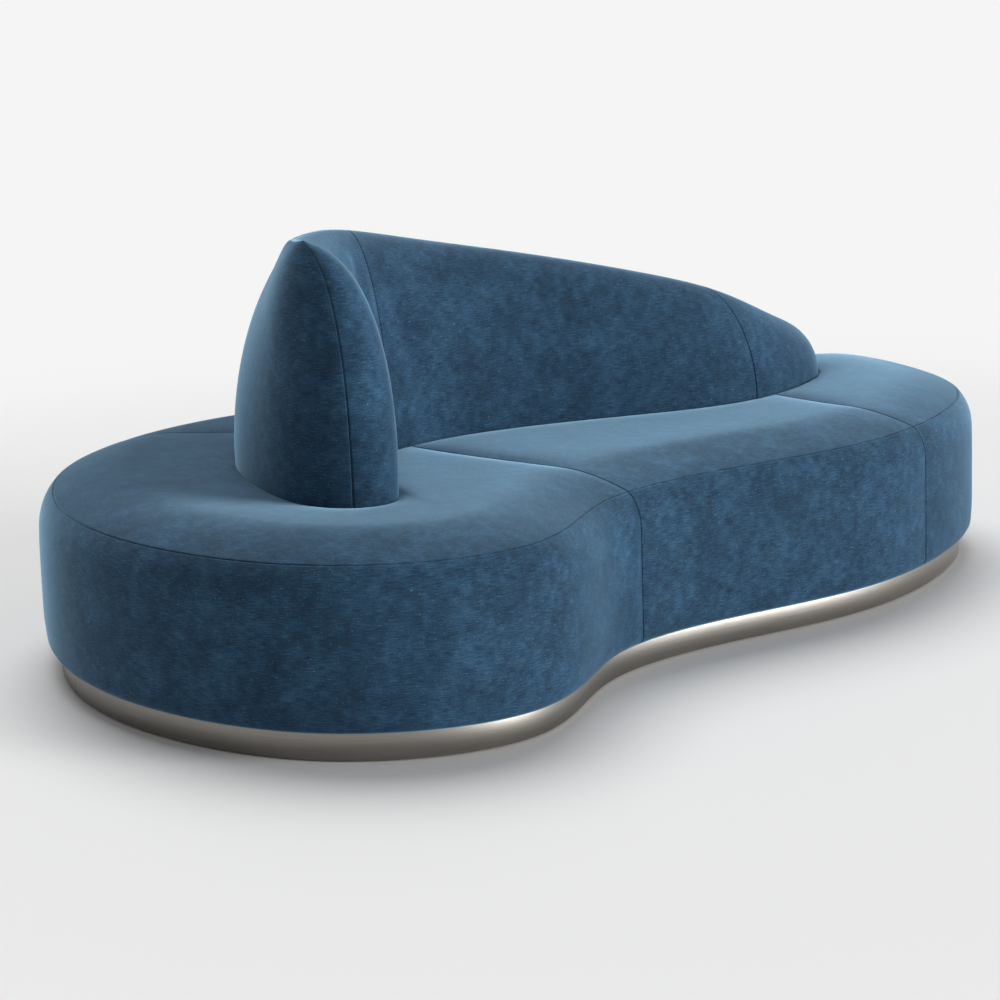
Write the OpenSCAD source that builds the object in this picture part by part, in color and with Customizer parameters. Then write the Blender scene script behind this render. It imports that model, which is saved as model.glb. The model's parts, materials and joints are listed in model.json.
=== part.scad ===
// Curved two-sided island sofa: an upholstered seat on a recessed metal plinth,
// with one fin-shaped back that runs along it and falls away to the far end.
// Millimetres, +Z up. The origin is the centre of the sofa's box, on the floor.

/* [Seat] */
// Length of the seat over its cover
seat_length = 2600; // [2300:10:3000]
// Depth of the seat over its cover
seat_depth = 1670; // [1500:10:1900]
// Height of the seat cover beside the back
seat_height = 430; // [400:5:480]
// Rise of the seat's top from its rounded edge to the back
crown = 8; // [4:1:16]
// Radius of the seat's soft upper edge
edge_radius = 100; // [70:5:110]
// Radius of the seat's lower edge
foot_radius = 30; // [20:1:36]
// How far round the upper edge the seam between top and side lies, in degrees
seam_angle = 46; // [30:1:60]

/* [Back] */
// Height of the back's highest point above the floor
back_height = 970; // [880:5:1080]
// Height of the back's far end above the floor
back_low = 585; // [520:5:640]
// Fullness of the back's cross-section, 2 is an ellipse
back_fullness = 2; // [1.8:0.1:2.6]

/* [Plinth] */
// Height of the plinth's top above the floor
plinth_top = 60; // [50:1:80]
// How far the metal band stands back under the seat
plinth_inset = 29; // [24:1:40]
// Thickness of the metal band
band_thickness = 1.5; // [1:0.1:3]
// Width of the wooden ring behind the metal band
ring_width = 52; // [44:1:70]
// Thickness of the plinth's cross boards
crossbar_thickness = 24; // [18:1:36]

/* [Glides] */
// Height of the glides that lift the plinth off the floor
glide_height = 3; // [2:0.5:6]
// Diameter of a glide
glide_d = 28; // [22:1:36]
// Diameter of the nail in a glide
nail_d = 4; // [3:0.5:5]
// Depth of the nail in the plinth
nail_length = 20; // [14:1:26]

/* [Frame] */
// Thickness of the plywood decks
deck_thickness = 18; // [15:1:21]
// How far the upper deck's top lies below the start of the seat's rounded upper edge
deck_drop = 4; // [2:1:20]
// How far the decks and ribs stand back from the cover
frame_inset = 34; // [33:1:40]
// Width of the decks' rim
rim_width = 90; // [70:5:120]
// Thickness of the upright ribs
rib_thickness = 18; // [15:1:24]
// Thickness of the bent plywood that closes the seat's sides
skin_thickness = 5; // [4:0.5:6]
// Distance between the two boards that carry the back
spine_gap = 90; // [70:5:110]
// Width of an elastic strap
strap_width = 60; // [50:5:70]
// Thickness of an elastic strap
strap_thickness = 1.5; // [1:0.5:2]

/* [Padding and cover] */
// Thickness of the cover
cloth = 2; // [1.5:0.5:3]
// Thickness of the soft foam layer on top of the seat
topper = 28; // [20:1:36]
// Clearance between soft pieces
soft_gap = 0.3; // [0.2:0.1:0.5]
// Clearance between hard pieces
fit = 0.3; // [0.2:0.1:0.5]
// Width of the rolled edge of the seat's soft layer
edge_roll = 45; // [36:1:60]
// Depth of the foam over the sides of the back's frame
back_padding = 45; // [35:1:55]
// Depth of the foam over the top of the back's frame
top_padding = 55; // [40:1:70]
// How far the cover is turned in under the seat
cover_tuck = 30; // [20:1:34]
// How far the cover goes down beside the back
cover_flap = 60; // [40:1:90]
// Thickness of the cloth that closes the underside
dust_cloth = 1; // [0.5:0.5:1]

/* [Hardware] */
// Diameter of the screws that hold the plinth
screw_d = 5; // [4:0.5:6]
// Length of the screws that hold the plinth
screw_length = 50; // [40:1:55]
// Diameter of the screws' countersunk heads
screw_head_d = 9.5; // [8:0.5:12]
// Diameter of the bolts that hold the back
bolt_d = 8; // [6:1:10]
// Thickness of the steel brackets
bracket_thickness = 4; // [3:0.5:6]
// Leg length of the steel brackets
bracket_leg = 50; // [40:1:60]
// Width of the steel brackets
bracket_width = 30; // [20:1:40]

/* [Hidden] */

// The seat's outline, as the corner points of a closed smooth curve, drawn at
// full size and then fitted to the seat's length and depth. It runs round the
// near lobe, past the waist of the front, round the far lobe and along the rear.
OUTLINE = [
    [-1190, -740], [-670, -920], [-350, -560], [70, -540], [530, -590],
    [1050, -330], [1250, -60], [1330, 300], [1200, 460], [760, 540],
    [120, 700], [-450, 890], [-900, 720], [-1180, 380], [-1350, -130]
];
// The back's outline where it meets the seat, from its nose along the sitting
// side to its far tip and back along the rear side, in the same drawing.
FOOT = [
    [-820, -450], [-705, -400], [-650, -150], [-490, 50], [-170, 80], [150, -10],
    [450, -110], [730, -30], [910, 80], [960, 190], [830, 270], [530, 180],
    [180, 270], [-220, 410], [-590, 410], [-800, 160], [-905, -170], [-920, -350]
];
// The back's ridge in the same drawing: x, y and the share of the way from
// the height of the far end to the highest point.
RIDGE = [
    [-905, -352, 1.08], [-860, -227, 0.992], [-793, -105, 0.933], [-621, 73, 0.916],
    [-433, 225, 0.869], [-200, 260, 0.75], [50, 190, 0.64], [310, 90, 0.5],
    [560, 45, 0.34], [690, 105, 0.12], [790, 160, -0.04]
];

// Corner points on these curves pull the line towards them, as weights do on a
// draughtsman's spline: the curve passes near each one and stays smooth.
function pull(a, b, c, d, t) =
    ((1 - t) ^ 3 * a + (3 * t ^ 3 - 6 * t ^ 2 + 4) * b
    + (-3 * t ^ 3 + 3 * t ^ 2 + 3 * t + 1) * c + t ^ 3 * d) / 6;
function pull_slope(a, b, c, d, t) =
    (-(1 - t) ^ 2 * a + (3 * t ^ 2 - 4 * t) * b + (-3 * t ^ 2 + 2 * t + 1) * c + t ^ 2 * d) / 2;
function loop_at(p, u) =
    let (n = len(p), w = u - n * floor(u / n), i = floor(w), t = w - i)
    pull(p[(i + n - 1) % n], p[i % n], p[(i + 1) % n], p[(i + 2) % n], t);
function loop_slope(p, u) =
    let (n = len(p), w = u - n * floor(u / n), i = floor(w), t = w - i)
    pull_slope(p[(i + n - 1) % n], p[i % n], p[(i + 1) % n], p[(i + 2) % n], t);
function path_at(p, u) =
    let (i = min(floor(u), len(p) - 4), t = u - i)
    pull(p[i], p[i + 1], p[i + 2], p[i + 3], t);
// The side that faces out of a loop that runs anticlockwise
function outward(p, u) =
    let (s = loop_slope(p, u))
    [s.y, -s.x] / norm(s);
function flat(rows) = [for (r = rows) for (v = r) v];
function lift(p, z) = [p.x, p.y, z];
function sideways(v) = [-v.y, v.x];

// How far along its ridge the back has come, at places on its sitting side, and
// which place there is across the ridge from a place on the rear side
half_foot = len(FOOT) / 2;
RIDGE_SHARES = [[0, 0], [1.4, 0.04], [2.667, 0.31], [6.35, 0.83], [7.7, 0.96], [9, 1]];
ACROSS = [
    [9, 9], [10.1, 7.7], [10.9, 6.6], [11, 6.35], [13.3, 4],
    [14.1, 3.3], [15, 2.667], [16.6, 1.4], [18, 0]
];
ACROSS_BACK = [for (i = [len(ACROSS) - 1 : -1 : 0]) [ACROSS[i][1], ACROSS[i][0]]];
function rear_place(q) = lookup(q, ACROSS_BACK);
// Columns of the soft surfaces: each joins a place on the back's outline to one
// on the seat's. A step gives where it starts on the back and its columns. The
// rear side has the places across from these, so both sides meet on the ridge.
STEPS = [[0, 10], [2.667, 3], [3.3, 8], [6.35, 1], [6.6, 5], [8.1, 6], [9, 0]];
// Places on the back's outline and the places on the seat's that they face
PARTNERS = [
    [0, 0.7], [2.667, 1.75], [3.3, 2.24], [6.35, 4.15], [6.6, 4.3],
    [9, 7], [10.68, 9], [13.66, 11.75], [18, 15.7]
];
front_places = [for (i = [0 : len(STEPS) - 2]) for (k = [0 : STEPS[i][1] - 1])
    STEPS[i][0] + (STEPS[i + 1][0] - STEPS[i][0]) * k / STEPS[i][1]];
rear_places = concat([half_foot],
    [for (i = [len(front_places) - 1 : -1 : 1]) rear_place(front_places[i])]);
columns = [for (q = concat(front_places, rear_places)) [lookup(q, PARTNERS), q]];
turn = [len(OUTLINE), len(FOOT)];
count = len(columns);
function column(i) = columns[i % count] + floor(i / count) * turn;
// The columns on which the seams of the seat and the back lie
NOSE = 0;
EDGE_SEAM = 10;
FRONT_SEAM = 13;
FACE_END = 21;
FAR_SEAM = 22;
FAR_TIP = 33;
REAR_SEAM = 43;
NEAR_SEAM = 52;
// Half the slit of a seam, as a share of a span of the outlines
SLIT = 0.0003;
function panel_columns(a, b) =
    [for (i = [a : b]) column(i) + (i == a ? SLIT : i == b ? -SLIT : 0) * [1, 1]];

// The drawing, fitted to the seat's length and depth and centred
drawn = [for (c = columns) loop_at(OUTLINE, c[0])];
drawn_x = [for (p = drawn) p.x];
drawn_y = [for (p = drawn) p.y];
fit_x = seat_length / (max(drawn_x) - min(drawn_x));
fit_y = seat_depth / (max(drawn_y) - min(drawn_y));
mid_x = (max(drawn_x) + min(drawn_x)) / 2;
mid_y = (max(drawn_y) + min(drawn_y)) / 2;
function fitted(p) = [(p.x - mid_x) * fit_x, (p.y - mid_y) * fit_y];
outline = [for (p = OUTLINE) fitted(p)];
foot = [for (p = FOOT) fitted(p)];
ridge_drawn = [for (p = RIDGE) [fitted(p).x, fitted(p).y, p.z]];
ridge_spans = len(RIDGE) - 3;
share_top = path_at(ridge_drawn, 0).z;
share_low = path_at(ridge_drawn, ridge_spans).z;
ridge_path = [for (p = ridge_drawn) lift(p, back_low
    + (back_height - back_low) * (p.z - share_low) / (share_top - share_low))];

// Steps to each span of a curve
FINE = 12;
// How far a cutter reaches past what it cuts
CUT = 1;
// Sides of the round hardware and its holes
SLIM_SIDES = 24;
ROUND_SIDES = 32;
DISC_SIDES = 48;

// A point of the seat's outline, moved in by an inset
function rim(u, inset) = loop_at(outline, u) - inset * outward(outline, u);
// A point of the back's outline on the seat, moved out by a clearance
function toe(q, out) = loop_at(foot, q) + out * outward(foot, q);
function rim_outline(inset) = [for (i = [0 : FINE * len(OUTLINE) - 1]) rim(i / FINE, inset)];

// The point of the ridge that a place on the back's outline belongs to
function ridge_at(q) =
    let (w = q - len(FOOT) * floor(q / len(FOOT)), s = w <= half_foot ? w : lookup(w, ACROSS))
    path_at(ridge_path, ridge_spans * lookup(s, RIDGE_SHARES));
bulge = 2 / back_fullness;
// The back's surface: from its outline on the seat, at 0 degrees, over to its ridge, at 90
function fin(q, a, out = 0, drop = 0) =
    let (f = toe(q, out), r = ridge_at(q), w = cos(a) ^ bulge, h = sin(a) ^ bulge)
    [r.x + (f.x - r.x) * w, r.y + (f.y - r.y) * w,
        seat_height + (r.z - drop - seat_height) * h];
STEP_Q = 0.05;
STEP_A = 2;
function fin_normal(q, a) =
    a > 90 - STEP_A ? [0, 0, 1] :
    let (along = fin(q + STEP_Q, a) - fin(q - STEP_Q, a),
        up = fin(q, a + STEP_A) - fin(q, max(a - STEP_A, 0)),
        n = cross(along, up))
    n / norm(n);
function fin_in(q, a, depth) = fin(q, a) - depth * fin_normal(q, a);
// The hard core of the back: drawn in from the outline towards the ridge
function core_foot(q, depth) =
    let (f = toe(q, 0), r = ridge_at(q), to_ridge = [r.x - f.x, r.y - f.y])
    f + depth * to_ridge / norm(to_ridge);
function core(q, a) =
    let (f = core_foot(q, back_padding), r = ridge_at(q), w = cos(a) ^ bulge, h = sin(a) ^ bulge)
    [r.x + (f.x - r.x) * w, r.y + (f.y - r.y) * w,
        seat_height + (r.z - top_padding - seat_height) * h];

// The seat's profile: inset and height of the lower and the upper rounding
shoulder_z = seat_height - crown;
function low_round(a, deep) =
    [foot_radius - (foot_radius - deep) * cos(a), plinth_top + foot_radius + (foot_radius - deep) * sin(a)];
function high_round(a, deep) =
    [edge_radius - (edge_radius - deep) * cos(a), shoulder_z - edge_radius + (edge_radius - deep) * sin(a)];
function rim_point(c, p) = lift(rim(c[0], p[0]), p[1]);
// The seat's top between its rounded edge and the back
PULL_IN = 0.8;
function top_point(c, v, out, deep) =
    let (a = rim(c[0], edge_radius), b = toe(c[1], out),
        m = a - PULL_IN * norm(b - a) * outward(outline, c[0]),
        p = (1 - v) ^ 2 * a + 2 * v * (1 - v) * m + v ^ 2 * b)
    lift(p, shoulder_z + crown * (1 - (1 - v) ^ 2) - deep);

// Where the soft surfaces bend: round the seat's upper edge past the seam, over
// its top, and up the back from its foot to its ridge
TOP_ANGLE = 66;
TOP_SHARES = [0, 0.4, 1];
BACK_ANGLES = [0, 20, 40, 60, 77, 90];

// A thin closed sheet between two grids of points with the same rows and columns
module sheet_between(outer, inner) {
    rows = len(outer);
    cols = len(outer[0]);
    back = rows * cols;
    function at(i, j) = i * cols + j;
    skin_faces = [for (i = [0 : rows - 2]) for (j = [0 : cols - 2])
        for (f = [[at(i, j), at(i + 1, j), at(i + 1, j + 1)], [at(i, j), at(i + 1, j + 1), at(i, j + 1)]]) f];
    lining_faces = [for (f = skin_faces) [f[2] + back, f[1] + back, f[0] + back]];
    border = concat(
        [for (j = [0 : cols - 2]) [at(0, j), at(0, j + 1)]],
        [for (i = [0 : rows - 2]) [at(i, cols - 1), at(i + 1, cols - 1)]],
        [for (j = [cols - 2 : -1 : 0]) [at(rows - 1, j + 1), at(rows - 1, j)]],
        [for (i = [rows - 2 : -1 : 0]) [at(i + 1, 0), at(i, 0)]]);
    border_faces = [for (e = border)
        for (f = [[e[0], e[1], e[1] + back], [e[0], e[1] + back, e[0] + back]]) f];
    polyhedron(concat(flat(outer), flat(inner)), concat(skin_faces, lining_faces, border_faces));
}
// A closed ring whose section is the loop that its rows make
module ring_of(rows_of_points) {
    rows = len(rows_of_points);
    cols = len(rows_of_points[0]);
    function at(i, j) = (i % rows) * cols + j % cols;
    polyhedron(flat(rows_of_points), [for (i = [0 : rows - 1]) for (j = [0 : cols - 1])
        for (f = [[at(i, j), at(i + 1, j), at(i + 1, j + 1)], [at(i, j), at(i + 1, j + 1), at(i, j + 1)]]) f]);
}
// A flat board that follows the outline from one place to another
module curved_strip(u0, u1, near, far) {
    steps = round((u1 - u0) * FINE);
    polygon(concat([for (i = [0 : steps]) rim(u0 + (u1 - u0) * i / steps, near)],
        [for (i = [steps : -1 : 0]) rim(u0 + (u1 - u0) * i / steps, far)]));
}
// A straight strip in plan from one point to another
module strip(a, b, width) {
    s = sideways(b - a) / norm(b - a) * width / 2;
    polygon([a - s, b - s, b + s, a + s]);
}

// Heights, from the floor up
deck_top = shoulder_z - edge_radius - deck_drop;
ring_top = plinth_top - fit;
deck_low = plinth_top + cloth + fit;
ribs_low = deck_low + deck_thickness;
ribs_high = deck_top - deck_thickness;
straps_low = deck_top;
straps_high = straps_low + strap_thickness + fit;
foam_low = straps_high + strap_thickness + fit;
topper_low = shoulder_z - cloth - soft_gap - topper;
foam_high = topper_low - soft_gap;
over_deck = deck_top + fit;
plate_top = over_deck + deck_thickness;
// How far the foam lies behind the face of the cover
lining = cloth + soft_gap;
// Half the slit between two sewn panels, in degrees round the rounded edge
SEAM_GAP = 0.15;

module slab(z0, z1) { translate([0, 0, z0]) linear_extrude(z1 - z0) children(); }

// Plinth: a wooden ring and cross boards, wrapped in a metal band, on glides
BAND_JOINTS = [6, 13.5];
JOINT_GAP = 0.0008;
CROSSBARS = [[0.9, 12.4], [2.95, 10.35], [4.6, 8.9]];
CROSSBAR_GLIDES = [0.25, 0.5, 0.75];
RING_GLIDES = 8;
RING_GLIDE_START = 0.35;
ring_inset = plinth_inset + band_thickness + fit;
glide_places = concat(
    [for (i = [0 : RING_GLIDES - 1])
        rim(RING_GLIDE_START + i * len(OUTLINE) / RING_GLIDES, ring_inset + ring_width / 2)],
    [for (i = [0 : len(CROSSBARS) - 1])
        let (a = rim(CROSSBARS[i][0], 0), b = rim(CROSSBARS[i][1], 0))
        a + (b - a) * CROSSBAR_GLIDES[i]]);
module at_glides() { for (p = glide_places) translate([p.x, p.y, 0]) children(); }
module nail_hole() { cylinder(d = nail_d + 2 * fit, h = glide_height + nail_length + CUT, $fn = SLIM_SIDES); }
module glides() {
    color("whitesmoke") at_glides() {
        cylinder(d = glide_d, h = glide_height, $fn = DISC_SIDES);
        cylinder(d = nail_d, h = glide_height + nail_length, $fn = SLIM_SIDES);
    }
}
module plinth_ring() {
    color("burlywood") difference() {
        slab(glide_height, ring_top) difference() {
            polygon(rim_outline(ring_inset));
            polygon(rim_outline(ring_inset + ring_width));
        }
        at_glides() nail_hole();
        at_screws() screw_hole();
    }
}
module plinth_crossbars() {
    color("burlywood") difference() {
        slab(glide_height, ring_top) intersection() {
            polygon(rim_outline(ring_inset + ring_width + fit));
            union() for (bar = CROSSBARS) strip(rim(bar[0], 0), rim(bar[1], 0), crossbar_thickness);
        }
        at_glides() nail_hole();
    }
}
module plinth_band(from, to) {
    color("dimgray") slab(glide_height, ring_top)
        curved_strip(from + JOINT_GAP, to - JOINT_GAP, plinth_inset, plinth_inset + band_thickness);
}
module plinth_band_rear() { plinth_band(BAND_JOINTS[0], BAND_JOINTS[1]); }
module plinth_band_front() { plinth_band(BAND_JOINTS[1], BAND_JOINTS[0] + len(OUTLINE)); }

// The line that the back's frame follows: halfway between places on the sitting
// side of its outline and those across from them
back_pairs = [for (q = [0.5, 1.75, 2.35, 3.1, 4, 4.95, 5.85, 6.9, 7.7, 8.5]) [q, rear_place(q)]];
RIB_MARGIN = 22;
// A rib's two feet
function rib_feet(i) = [for (q = back_pairs[i]) core_foot(q, back_padding + RIB_MARGIN)];
spine = [for (i = [0 : len(back_pairs) - 1]) (rib_feet(i)[0] + rib_feet(i)[1]) / 2];
FIRST_RIB = 1;
LAST_RIB = 7;
SPINE_END = 8;
function spine_at(s) = let (i = min(floor(s), len(spine) - 2)) spine[i] + (s - i) * (spine[i + 1] - spine[i]);
function spine_side(i, out) =
    let (a = spine[i] - spine[i - 1], b = spine[min(i + 1, SPINE_END + 1)] - spine[i],
        m = a / norm(a) + b / norm(b))
    spine[i] + 2 * out * sideways(m) / norm(m) ^ 2;
module spine_strip(near, far) {
    polygon(concat([for (i = [FIRST_RIB : SPINE_END]) spine_side(i, near)],
        [for (i = [SPINE_END : -1 : FIRST_RIB]) spine_side(i, far)]));
}

// Seat ribs: each joins a place on the spine to a place on the outline
RIBS_FRONT = [
    [1.25, 0.5], [1.6, 1.3], [2.5, 2], [3.2, 2.6], [4.1, 3.3],
    [5, 4], [5.9, 4.8], [6.8, 5.6], [7.7, 6.6]
];
RIBS_REAR = [
    [7.5, 7.8], [6.7, 8.8], [5.8, 9.4], [4.9, 10], [4, 10.7],
    [3, 11.6], [2.1, 12.7], [1.6, 13.6], [1.25, 14.5]
];
all_ribs = concat(RIBS_FRONT, RIBS_REAR);
BAR_WIDTH = 60;
SPINE_MARGIN = 50;
spine_face = (spine_gap + rib_thickness) / 2;
spine_back = (spine_gap - rib_thickness) / 2;
module rib_strips(ribs, width) { for (r = ribs) strip(spine_at(r[0]), rim(r[1], 0), width); }
module toe_plan(out) { polygon([for (i = [0 : FINE * len(FOOT) - 1]) toe(i / FINE, out)]); }
module seat_ribs(ribs) {
    color("burlywood") slab(ribs_low, ribs_high) difference() {
        intersection() {
            rib_strips(ribs, rib_thickness);
            polygon(rim_outline(frame_inset));
        }
        spine_strip(-spine_face - fit, spine_face + fit);
    }
}
module seat_ribs_front() { seat_ribs(RIBS_FRONT); }
module seat_ribs_rear() { seat_ribs(RIBS_REAR); }
module spine_board_front() {
    color("tan") slab(ribs_low, ribs_high) spine_strip(-spine_face, -spine_back);
}
module spine_board_rear() {
    color("tan") slab(ribs_low, ribs_high) spine_strip(spine_back, spine_face);
}

// Decks: a rim, a middle and bars over the ribs, in two halves that meet over
// the middle cross board
JOINT = CROSSBARS[1];
joint_start = rim(JOINT[0], 0);
joint_end = rim(JOINT[1], 0);
joint_way = (joint_end - joint_start) / norm(joint_end - joint_start);
joint_side = sideways(joint_way);
BEYOND = 3000;
// The half of the plan on one side of the joint: 1 is the near side, -1 the far side
module half_plan(side) {
    edge = side * fit / 2 * joint_side;
    polygon([joint_start - BEYOND * joint_way + edge, joint_end + BEYOND * joint_way + edge,
        joint_end + BEYOND * joint_way + side * BEYOND * joint_side,
        joint_start - BEYOND * joint_way + side * BEYOND * joint_side]);
}
module deck_plan(side) {
    intersection() {
        polygon(rim_outline(frame_inset));
        half_plan(side);
        union() {
            difference() {
                polygon(rim_outline(frame_inset));
                polygon(rim_outline(frame_inset + rim_width));
            }
            toe_plan(SPINE_MARGIN);
            rib_strips(all_ribs, BAR_WIDTH);
        }
    }
}
// Screws down into the plinth, halfway between the ribs and clear of the joint
SCREW_INSET = 70;
rib_ends = [for (r = all_ribs) r[1]];
screw_ends = [for (i = [0 : len(rib_ends) - 2]) (rib_ends[i] + rib_ends[i + 1]) / 2];
JOINT_CLEAR = 0.1;
screw_places = [for (u = screw_ends)
    if (min(abs(u - JOINT[0]), abs(u - JOINT[1])) > JOINT_CLEAR) rim(u, SCREW_INSET)];
module at_screws() { for (p = screw_places) translate([p.x, p.y, ribs_low]) children(); }
module screw_form(extra) {
    head = (screw_head_d - screw_d) / 2;
    slim = screw_d + 2 * extra;
    translate([0, 0, -screw_length - extra]) cylinder(d = slim, h = screw_length + extra, $fn = SLIM_SIDES);
    translate([0, 0, -head]) cylinder(d1 = slim, d2 = screw_head_d + 2 * extra, h = head, $fn = ROUND_SIDES);
}
module screw_hole() { screw_form(fit); }
module plinth_screws() { color("silver") at_screws() screw_form(0); }
module base_deck(side) {
    color("burlywood") difference() {
        slab(deck_low, ribs_low) deck_plan(side);
        at_screws() screw_hole();
    }
}
module base_deck_near() { base_deck(1); }
module base_deck_far() { base_deck(-1); }

// Bolts that hold the back: two in each bay between its ribs
WASHER_D = 22;
WASHER_T = 1.6;
// Height and width of a bolt's head and nut, as shares of the bolt
HEX_HEIGHT = 0.65;
HEX_WIDTH = 1.85;
HEX_SIDES = 6;
PAST_NUT = 3;
// How far along each bay its bolts stand
BOLT_SHARE = 0.4;
WASHER_CLEAR = 1;
bolt_head_h = HEX_HEIGHT * bolt_d;
bolt_off = (rib_thickness + WASHER_D) / 2 + WASHER_CLEAR;
bolt_places = [for (i = [FIRST_RIB : LAST_RIB - 1])
    let (a = spine[i], b = spine[i + 1], n = sideways(b - a) / norm(b - a))
    for (side = [-1, 1]) a + BOLT_SHARE * (b - a) + side * bolt_off * n];
bolt_low = ribs_high - WASHER_T;
bolt_high = plate_top + WASHER_T + bolt_head_h + PAST_NUT;
module at_bolts(z) { for (p = bolt_places) translate([p.x, p.y, z]) children(); }
module bolt_holes() {
    at_bolts(ribs_high - CUT)
        cylinder(d = bolt_d + 2 * fit, h = plate_top - ribs_high + 2 * CUT, $fn = ROUND_SIDES);
}
module washer() {
    difference() {
        cylinder(d = WASHER_D, h = WASHER_T, $fn = DISC_SIDES);
        translate([0, 0, -CUT]) cylinder(d = bolt_d + 2 * fit, h = WASHER_T + 2 * CUT, $fn = ROUND_SIDES);
    }
}
module back_bolts() {
    color("silver") at_bolts(bolt_low) {
        cylinder(d = bolt_d, h = bolt_high - bolt_low, $fn = ROUND_SIDES);
        translate([0, 0, -bolt_head_h]) cylinder(d = HEX_WIDTH * bolt_d, h = bolt_head_h, $fn = HEX_SIDES);
    }
}
module back_washers() {
    color("silver") {
        at_bolts(bolt_low) washer();
        at_bolts(plate_top) washer();
    }
}
module back_nuts() {
    color("silver") at_bolts(plate_top + WASHER_T) difference() {
        cylinder(d = HEX_WIDTH * bolt_d, h = bolt_head_h, $fn = HEX_SIDES);
        translate([0, 0, -CUT]) cylinder(d = bolt_d + 2 * fit, h = bolt_head_h + 2 * CUT, $fn = ROUND_SIDES);
    }
}
module top_deck(side) {
    color("burlywood") difference() {
        slab(ribs_high, deck_top) deck_plan(side);
        bolt_holes();
    }
}
module top_deck_near() { top_deck(1); }
module top_deck_far() { top_deck(-1); }

// Splice boards under the joint of the upper deck: at both ends and at the spine
SPLICE = [140, 70, 12];
SPLICE_SPINE = 4.75;
splice_inset = frame_inset + rim_width / 2;
module splice(middle, along) {
    half = SPLICE.x / 2 * along / norm(along);
    strip(middle - half, middle + half, SPLICE.y);
}
module deck_splices() {
    before = floor(SPLICE_SPINE);
    color("tan") slab(ribs_high - SPLICE.z, ribs_high) {
        for (u = JOINT) splice(rim(u, splice_inset), sideways(outward(outline, u)));
        splice(spine_at(SPLICE_SPINE), spine[before + 1] - spine[before]);
    }
}

// Bent plywood that closes the sides of the seat
SKIN_LIFT = 10;
skin_inset = frame_inset - fit - skin_thickness;
module side_skin(from, to) {
    color("wheat") slab(plinth_top + SKIN_LIFT, deck_top)
        curved_strip(from + JOINT_GAP, to - JOINT_GAP, skin_inset, skin_inset + skin_thickness);
}
module side_skin_rear() { side_skin(BAND_JOINTS[0], BAND_JOINTS[1]); }
module side_skin_front() { side_skin(BAND_JOINTS[1], BAND_JOINTS[0] + len(OUTLINE)); }

// Black cloth that closes the underside inside the plinth
DUST_MARGIN = 1;
module dust_cover() {
    color("black") slab(deck_low - dust_cloth, deck_low)
        polygon(rim_outline(ring_inset + ring_width + DUST_MARGIN));
}

// Elastic straps across the bays between the ribs, and along them above
STRAP_RIM = 15;
STRAP_TOE = 12;
STRAP_END = 6;
STRAP_LINES = [0.36, 0.7];
LONG_STRAP = 0.6;
module webbing_cross() {
    color("dimgray") slab(straps_low, straps_low + strap_thickness) intersection() {
        difference() {
            polygon(rim_outline(frame_inset + STRAP_RIM));
            toe_plan(STRAP_TOE);
        }
        union() for (ribs = [RIBS_FRONT, RIBS_REAR]) for (i = [0 : len(ribs) - 2]) {
            m = (ribs[i] + ribs[i + 1]) / 2;
            strip(spine_at(m[0]), rim(m[1], 0), strap_width);
        }
    }
}
function bay_point(r, share) =
    let (a = spine_at(r[0]), b = rim(r[1], frame_inset))
    b + (a - b) * share;
module webbing_long() {
    color("dimgray") slab(straps_high, straps_high + strap_thickness) difference() {
        union() for (ribs = [RIBS_FRONT, RIBS_REAR]) for (i = [0 : len(ribs) - 2]) for (share = STRAP_LINES) {
            a = bay_point(ribs[i], share);
            b = bay_point(ribs[i + 1], share);
            way = (b - a) / norm(b - a);
            strip(a + STRAP_END * way, b - STRAP_END * way, strap_width * LONG_STRAP);
        }
        toe_plan(STRAP_TOE);
    }
}

// Foam of the seat: a firm core in two halves, a soft layer over it with a
// rolled edge, and a layer round the sides
slot_out = lining + soft_gap;
module column_plan(inset) { polygon([for (c = columns) rim(c[0], inset)]); }
module slot_plan(out) { polygon([for (c = columns) toe(c[1], out)]); }
module seat_foam(side) {
    color("palegoldenrod") slab(foam_low, foam_high) difference() {
        intersection() {
            column_plan(edge_roll + soft_gap);
            half_plan(side);
        }
        slot_plan(slot_out);
    }
}
module seat_foam_near() { seat_foam(1); }
module seat_foam_far() { seat_foam(-1); }
module seat_topper() {
    color("lemonchiffon") ring_of(concat(
        [[for (c = columns) rim_point(c, [lining, over_deck])]],
        [for (a = [0, seam_angle / 2, seam_angle, TOP_ANGLE])
            [for (c = columns) rim_point(c, high_round(a, lining))]],
        [for (v = TOP_SHARES) [for (c = columns) top_point(c, v, slot_out, lining)]],
        [[for (c = columns) lift(toe(c[1], slot_out), topper_low)]],
        [[for (c = columns) rim_point(c, [edge_roll, topper_low])]],
        [[for (c = columns) rim_point(c, [edge_roll, over_deck])]]));
}
// Below the lower rounding's centre the side foam steps in and stops short
FOOT_STEP_IN = 0.5;
FOOT_STEP_UP = 0.4;
module side_foam() {
    foot_z = plinth_top + foot_radius;
    color("palegoldenrod") difference() {
        union() {
            slab(foot_z, deck_top) column_plan(lining);
            slab(plinth_top + FOOT_STEP_UP * foot_radius, foot_z) column_plan(FOOT_STEP_IN * foot_radius);
        }
        slab(0, deck_top + CUT) polygon(rim_outline(skin_inset - soft_gap));
    }
}

// The back's frame: a base plate, upright ribs and boards between them
CORE_MARGIN = 10;
BOARD_SHARE = 0.72;
module back_base_plate() {
    color("burlywood") difference() {
        slab(over_deck, plate_top)
            polygon([for (i = [0 : FINE * len(FOOT) - 1]) core_foot(i / FINE, back_padding + CORE_MARGIN)]);
        bolt_holes();
    }
}
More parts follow.
